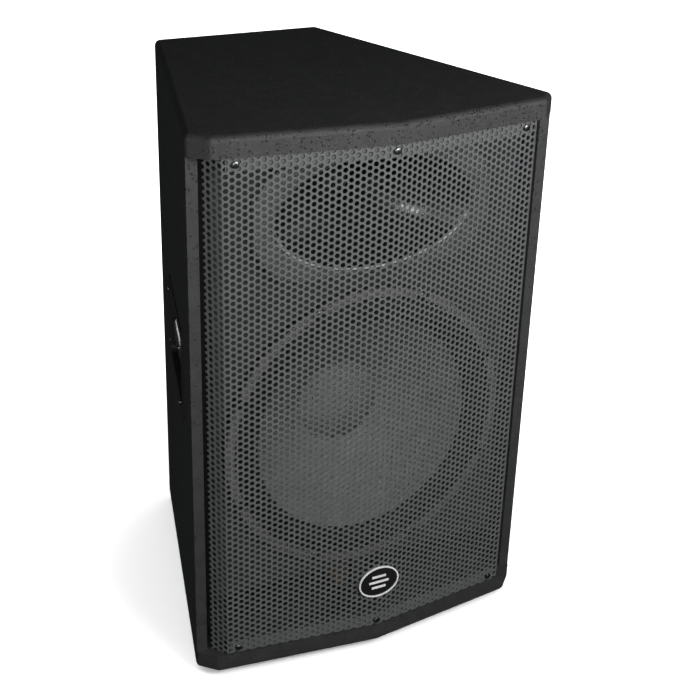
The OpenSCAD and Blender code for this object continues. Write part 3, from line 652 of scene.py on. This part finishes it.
def make_dust_cap():
    """Domed cap with a bead of glue round its edge."""
    steps = 26
    z = cone_depth(CAP_R) - 1.0 * MM
    dome = [(NEAR_ZERO, z - CAP_RISE)]
    for i in range(1, steps + 1):
        f = math.sin(math.pi / 2 * i / steps)
        dome.append((CAP_R * f, z - CAP_RISE * (1 - f**2.2)))
    bead = [
        (CAP_R + 1.2 * MM, z - 0.7 * MM), (CAP_R + 2.2 * MM, z - 0.6 * MM), (CAP_R + 2.6 * MM, z + 0.2 * MM),
    ]
    inner = [(max(NEAR_ZERO, r - 0.8 * MM), d + 1.0 * MM) for r, d in reversed(dome)]
    turned_piece("woofer_cap_dome", dome + bead + inner, woofer_at, "woofer_dust_cap", CONE, 96, 60)


def make_surround():
    """Cloth edge in two half rolls. Each sector bends between the basket and the cone."""
    inner, outer = CONE_R - 3.5 * MM, CUT_R + 2.4 * MM
    roll_in, roll_out = CONE_R + 0.6 * MM, CUT_R - 8 * MM
    sectors, per, steps = SURROUND_SECTORS, SECTOR_STEPS, 36
    front = [(outer, SEAT_Z), (outer - 5 * MM, SEAT_Z)]
    for i in range(steps + 1):
        t = i / steps
        r = roll_out + (roll_in - roll_out) * t
        lift = abs(math.sin(2 * math.pi * t)) ** 0.8
        front.append((r, SEAT_Z - ROLL_H * lift - 0.3 * MM * math.sin(math.pi * t)))
    front += [(roll_in - 1.2 * MM, -5.2 * MM), (inner, cone_depth(inner) - 0.9 * MM)]
    profile = front + [(r, d + (CLOTH if r > roll_in else CLOTH_ON_CONE)) for r, d in reversed(front)]
    n = len(profile)
    for sector in range(sectors):
        verts, faces = [], []
        for k in range(per + 1):
            a = (sector + k / per - 0.5) * math.tau / sectors
            for r, d in profile:
                verts.append((woofer_at.x + r * math.cos(a), woofer_at.y + d, woofer_at.z + r * math.sin(a)))
        for k in range(per):
            for i in range(n):
                j = (i + 1) % n
                faces.append((k * n + i, (k + 1) * n + i, (k + 1) * n + j, k * n + j))
        faces.append(tuple(range(n)))
        faces.append(tuple(per * n + i for i in reversed(range(n))))
        replaced = ["woofer_surround"] if sector == 0 else []
        name = "surround_%02d" % (sector + 1)
        obj = piece(name, verts, faces, "woofer_surround", None, replaced, 60)
        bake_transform(obj)


# ---------------------------------------------------------------- horn

MOUTH_Z = horn_low.y - baffle_y
horn_at = Vector((0, baffle_y, HORN_HEIGHT))
THROAT_R, THROAT_Z = 18 * MM, 100 * MM
MOUTH_A, MOUTH_B = 127 * MM, 67 * MM
FLARE_A, FLARE_B = 1.55, 1.2  # powers of the flare's growth across and up
MOUTH_LIP = 2.6 * MM
FLANGE_W, FLANGE_H, FLANGE_R = 308 * MM, 150 * MM, 66 * MM
FLANGE_EDGE = 3 * MM
FLANGE_BACK = -0.3 * MM
HORN_WALL = 3 * MM
WALL_END = 0.86  # share of the flare that has an outer wall of its own


def stadium(w, h, r, count):
    """Points of a rounded rectangle at even polar angles of the matching ellipse."""
    points = []
    for k in range(count):
        c, s = circle(k, count)
        dx, dy = w * c, h * s
        size = math.hypot(dx, dy)
        dx, dy = dx / size, dy / size
        low, high = 0.0, w
        for _ in range(40):
            mid = (low + high) / 2
            x, y = abs(mid * dx), abs(mid * dy)
            qx, qy = max(x - (w / 2 - r), 0), max(y - (h / 2 - r), 0)
            inside = x <= w / 2 and y <= h / 2 and math.hypot(qx, qy) <= r
            low, high = (mid, high) if inside else (low, mid)
        points.append((low * dx, low * dy))
    return points


def make_horn():
    """Oval flare with a rolled lip, its flange, and the collar that the driver bolts to."""
    count, steps, turns, wall_steps = 144, 56, 6, 20
    oval = [circle(k, count) for k in range(count)]

    def ring(a, b, depth):
        return [(horn_at.x + a * c, horn_at.y + depth, horn_at.z + b * s) for c, s in oval]

    def edge(shrink, depth):
        w, h, r = FLANGE_W - 2 * shrink, FLANGE_H - 2 * shrink, FLANGE_R - shrink
        return [(horn_at.x + x, horn_at.y + depth, horn_at.z + y) for x, y in stadium(w, h, r, count)]

    def flare(t, wall):
        a = THROAT_R + (MOUTH_A - THROAT_R) * t**FLARE_A
        b = THROAT_R + (MOUTH_B - THROAT_R) * t**FLARE_B
        return ring(a + wall, b + wall, THROAT_Z + (MOUTH_Z + MOUTH_LIP - THROAT_Z) * t)

    rings = [flare(i / steps, 0) for i in range(steps + 1)]
    for i in range(1, turns + 1):
        turn = i * math.pi / (2 * turns)
        out, up = MOUTH_LIP * (1 - math.cos(turn)), MOUTH_LIP * math.sin(turn)
        rings.append(ring(MOUTH_A + out, MOUTH_B + out, MOUTH_Z + MOUTH_LIP - up))
    for i in range(turns + 1):
        turn = i * math.pi / (2 * turns)
        shrink, sink = FLANGE_EDGE * (1 - math.sin(turn)), FLANGE_EDGE * (1 - math.cos(turn))
        rings.append(edge(shrink, MOUTH_Z + sink))
    rings.append(edge(0, FLANGE_BACK))
    rings.append(ring(MOUTH_A + 2 * HORN_WALL, MOUTH_B + 2 * HORN_WALL, FLANGE_BACK))
    rings += [flare(i / wall_steps * WALL_END, HORN_WALL) for i in range(wall_steps, -1, -1)]
    shell = loft(rings)
    collar = [
        (46 * MM, 92.5 * MM), (46 * MM, 100 * MM), (20 * MM, 100 * MM), (20 * MM, 92 * MM),
        (45.5 * MM, 92 * MM),
    ]
    verts, faces = merged([shell, loft(turned(collar, horn_at, 72))])
    piece("horn_moulding", verts, faces, "horn_flare", ROOT, ["horn_flare"], 38)


# ---------------------------------------------------------------- screws

GRILLE_SCREW_X, GRILLE_SCREW_INSET = 184 * MM, 7 * MM
BOLT_CIRCLE_R, BOLT_COUNT, FRAME_T = 182.5 * MM, 8, 8 * MM
HORN_SCREW_X, HORN_SCREW_Z, FLANGE_T = 112 * MM, 56 * MM, 5 * MM
HANDLE_SCREW_ALONG, HANDLE_SCREW_UP = 90, 37  # millimetres
SCREW_TIP, SCREW_TIP_R = 2 * MM, 0.4  # the second is a share of the shank's radius
HEAD_STRAIGHT = 0.45  # share of a head's height below its dome
# Shares of a head's radius, height and recess
RECESS_ARM, RECESS_WIDTH, RECESS_FLOOR, RECESS_TAPER = 0.55, 0.12, 0.42, 0.55


def screw_mesh(head_r, head_t, shank_r, shank_l):
    """Domed screw along +Z with a cross recess. Its head sits on Z = 0. Lengths in millimetres."""
    head_r, head_t, shank_r, shank_l = (length * MM for length in (head_r, head_t, shank_r, shank_l))
    sides = 32
    profile = [(NEAR_ZERO, -shank_l), (shank_r * SCREW_TIP_R, -shank_l), (shank_r, -shank_l + SCREW_TIP)]
    profile += [(shank_r, 0), (head_r, 0), (head_r, head_t * HEAD_STRAIGHT)]
    for i in range(1, 7):
        a = i * math.pi / 12
        dome = HEAD_STRAIGHT + (1 - HEAD_STRAIGHT) * math.sin(a)
        profile.append((head_r * math.cos(a) + NEAR_ZERO, head_t * dome))
    turn = [circle(k, sides) for k in range(sides)]
    rings = [[(r * c, r * s, z) for c, s in turn] for r, z in profile]
    verts, faces = loft(rings, closed=False)
    faces.append(tuple(reversed(range(sides))))
    faces.append(tuple(len(verts) - sides + k for k in range(sides)))
    mesh = bpy.data.meshes.new("screw")
    mesh.from_pydata(verts, [], faces)
    body = link_object("screw", mesh)
    arm, width = head_r * RECESS_ARM, head_r * RECESS_WIDTH
    cut = bpy.data.meshes.new("cross")
    cross = [
        (arm, -width), (arm, width), (width, width), (width, arm), (-width, arm), (-width, width),
        (-arm, width), (-arm, -width), (-width, -width), (-width, -arm), (width, -arm), (width, -width),
    ]
    top, bottom, n = head_t + 1 * MM, head_t * RECESS_FLOOR, len(cross)
    cut_verts = [(x, y, top) for x, y in cross]
    cut_verts += [(x * RECESS_TAPER, y * RECESS_TAPER, bottom) for x, y in cross]
    cut_faces = [tuple(range(n)), tuple(reversed(range(n, 2 * n)))]
    cut_faces += [(i, n + i, n + (i + 1) % n, (i + 1) % n) for i in range(n)]
    cut.from_pydata(cut_verts, [], cut_faces)
    tool = link_object("cross", cut)
    mod = body.modifiers.new("cut", "BOOLEAN")
    mod.object = tool
    mod.operation = "DIFFERENCE"
    mod.solver = "EXACT"
    deps = bpy.context.evaluated_depsgraph_get()
    made = bpy.data.meshes.new_from_object(body.evaluated_get(deps))
    result = [tuple(v.co) for v in made.vertices], [tuple(p.vertices) for p in made.polygons]
    for obj in (body, tool):
        bpy.data.objects.remove(obj)
    for data in (mesh, cut, made):
        bpy.data.meshes.remove(data)
    return result


def place_screws(name, node, shape, places):
    """Screws at places, each (point under the head, direction the head faces), turned at random."""
    rng = random.Random(node)
    parts = []
    for at, facing in places:
        aim = Vector(facing).to_track_quat("Z", "Y").to_matrix()
        turn = aim @ Matrix.Rotation(rng.uniform(0, math.tau), 3, "Z")
        parts.append(([tuple(Vector(at) + turn @ Vector(v)) for v in shape[0]], shape[1]))
    verts, faces = merged(parts)
    piece(name, verts, faces, node, ROOT, [node], 30)


def make_grille_screws():
    """Three screws along each end of the grille, square to its facets."""
    low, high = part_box("grille")
    shape = screw_mesh(4.3, 2.6, 1.85, 14)
    places = []
    for x in (-GRILLE_SCREW_X, 0, GRILLE_SCREW_X):
        y = low.y + abs(x) * math.tan(FOLD)
        for z in (low.z + GRILLE_SCREW_INSET, high.z - GRILLE_SCREW_INSET):
            tilt = math.copysign(FOLD, x) if x else 0
            places.append(((x, y, z), (math.sin(tilt), -math.cos(tilt), 0)))
    place_screws("grille_screw_heads", "grille_screws", shape, places)


def make_driver_screws():
    """Screws of the woofer's frame and of the horn's flange."""
    shape = screw_mesh(5.2, 4.2, 2.8, 32)
    places = []
    for k in range(BOLT_COUNT):
        a = math.radians((k + 0.5) * 360 / BOLT_COUNT)
        x, z = BOLT_CIRCLE_R * math.cos(a), woofer_at.z + BOLT_CIRCLE_R * math.sin(a)
        places.append(((x, baffle_y - FRAME_T, z), (0, -1, 0)))
    place_screws("woofer_screw_heads", "woofer_screws", shape, places)
    shape = screw_mesh(4.6, 3.6, 2.05, 20)
    places = [
        ((x, baffle_y + MOUTH_Z + FLANGE_T, horn_at.z + z), (0, -1, 0))
        for x in (-HORN_SCREW_X, HORN_SCREW_X)
        for z in (-HORN_SCREW_Z, HORN_SCREW_Z)
    ]
    place_screws("horn_screw_heads", "horn_screws", shape, places)


def make_handle_screws():
    """Screws in the thin rim of each handle tray. Their frame is found from the wall's two ends."""
    low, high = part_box("right_handle_tray")
    wall = nodes["right_side_panel"].data.vertices
    front = max((v.co for v in wall), key=lambda c: c.x)
    back = max((v.co for v in wall), key=lambda c: c.y * 10 + c.x)
    along = Vector((back.x - front.x, back.y - front.y, 0)).normalized()
    out = Vector((along.y, -along.x, 0))
    middle = Vector(((low.x + high.x) / 2, (low.y + high.y) / 2, (low.z + high.z) / 2))
    tray = nodes["right_handle_tray"].data.vertices
    middle += out * max((Vector(v.co) - middle).dot(out) for v in tray)
    shape = screw_mesh(4.2, 2.2, 1.85, 14)
    places = []
    for x in (-HANDLE_SCREW_ALONG, HANDLE_SCREW_ALONG):
        for z in (-HANDLE_SCREW_UP, HANDLE_SCREW_UP):
            at = middle + along * x * MM + Vector((0, 0, z * MM))
            places.append((tuple(at), tuple(out)))
            places.append(((-at.x, at.y, at.z), (-out.x, out.y, 0)))
    place_screws("handle_screw_heads", "handle_screws", shape, places)


# ---------------------------------------------------------------- studio

FLOOR_REACH = 14
GLOW_FROM, GLOW_TO = 0.25, 0.8  # distance from the cabinet over which the floor brightens to white
AIR = (0.9, 0.95, 1.0, 1)
AIR_STRENGTH = 0.035


def make_floor():
    """Pale floor that gives off more light away from the cabinet, so that it ends in white."""
    far = FLOOR_REACH
    mesh = bpy.data.meshes.new("studio_floor")
    mesh.from_pydata([(-far, -far, 0), (far, -far, 0), (far, far, 0), (-far, far, 0)], [], [(0, 1, 2, 3)])
    obj = link_object("studio_floor", mesh)
    white = Paint("studio_white", rough=0.9, spec=0.1)
    white.colour(white.noise(2, 2), (0.3, grey(0.88)), (0.7, grey(0.90)))
    white.shader.inputs["Emission Color"].default_value = (1, 1, 1, 1)
    distance = white.tree.nodes.new("ShaderNodeVectorMath")
    distance.operation = "LENGTH"
    white.tree.links.new(white.place, distance.inputs[0])
    glow = white.spread(distance.outputs["Value"], GLOW_FROM, GLOW_TO, 0.2, 1.2)
    white.tree.links.new(glow, white.shader.inputs["Emission Strength"])
    mesh.materials.append(white.mat)
    obj.visible_diffuse = False
    obj.visible_glossy = False
    return obj


def make_world():
    """Faint even light from all round, shown with the plain view transform."""
    world = bpy.data.worlds.new("studio")
    world.use_nodes = True
    sky = world.node_tree.nodes["Background"]
    sky.inputs["Color"].default_value = AIR
    sky.inputs["Strength"].default_value = AIR_STRENGTH
    bpy.context.scene.world = world
    bpy.context.scene.view_settings.view_transform = "Standard"


# ---------------------------------------------------------------- build

make_camera()
floor = make_floor()
make_world()

key = area_light("key", (0.3, -1.15, 0.98), (0.02, -0.2, 0.55), 0.8, 15, 0.35)
area_light("side", (-0.9, -2.2, 0.9), (0.0, -0.2, 0.5), 0.5, 12)
area_light("fill", (-1.9, -0.9, 1.0), (-0.2, 0.0, 0.65), 0.8, 4)
over = area_light("over", (0, 0, 5.0), (0, 0, 0), 9.0, 560)
horn_lamp = area_light("horn_lamp", (-0.95, -1.05, 1.30), (0.06, -0.14, 0.57), 0.22, 14, 0.45)
back_lamp = area_light("back_lamp", (1.2, 2.2, 1.3), (0.0, 0.0, 0.35), 1.4, 30)
lip_lamp = area_light("lip_lamp", (0.1, -1.7, 1.65), (0.0, -0.18, 0.55), 2.4, 24, 0.25)
cone_lamp = area_light("cone_lamp", (-0.3, -0.85, 1.40), (0.0, -0.15, 0.3), 0.9, 62)
grip_lamp = area_light("grip_lamp", (-0.54, 1.95, 0.62), (-0.18, 0.0, 0.37), 0.3, 4)

for node, obj in nodes.items():
    obj.data.materials.clear()
    obj.data.materials.append(finish_of(node))
    soften(node)

make_grille()
make_cone()
make_dust_cap()
make_surround()
make_horn()
make_grille_screws()
make_driver_screws()
make_handle_screws()

horn = bpy.data.objects["horn_moulding"]
cone_parts = (bpy.data.objects["woofer_cone_paper"], bpy.data.objects["woofer_cap_dome"])
back_parts = (
    "back_panel", "input_plate", "input_socket_upper", "input_socket_lower", "input_plate_screws",
    "right_side_panel", "right_handle_tray", "right_handle_grip", "pole_socket",
)
link_light(over, floor)
link_light(horn_lamp, horn)
link_light(back_lamp, *(nodes[name] for name in back_parts))
link_light(lip_lamp, horn)
link_light(cone_lamp, *cone_parts)
link_light(grip_lamp, nodes["left_handle_grip"])
link_light(key, *cone_parts, state="EXCLUDE")
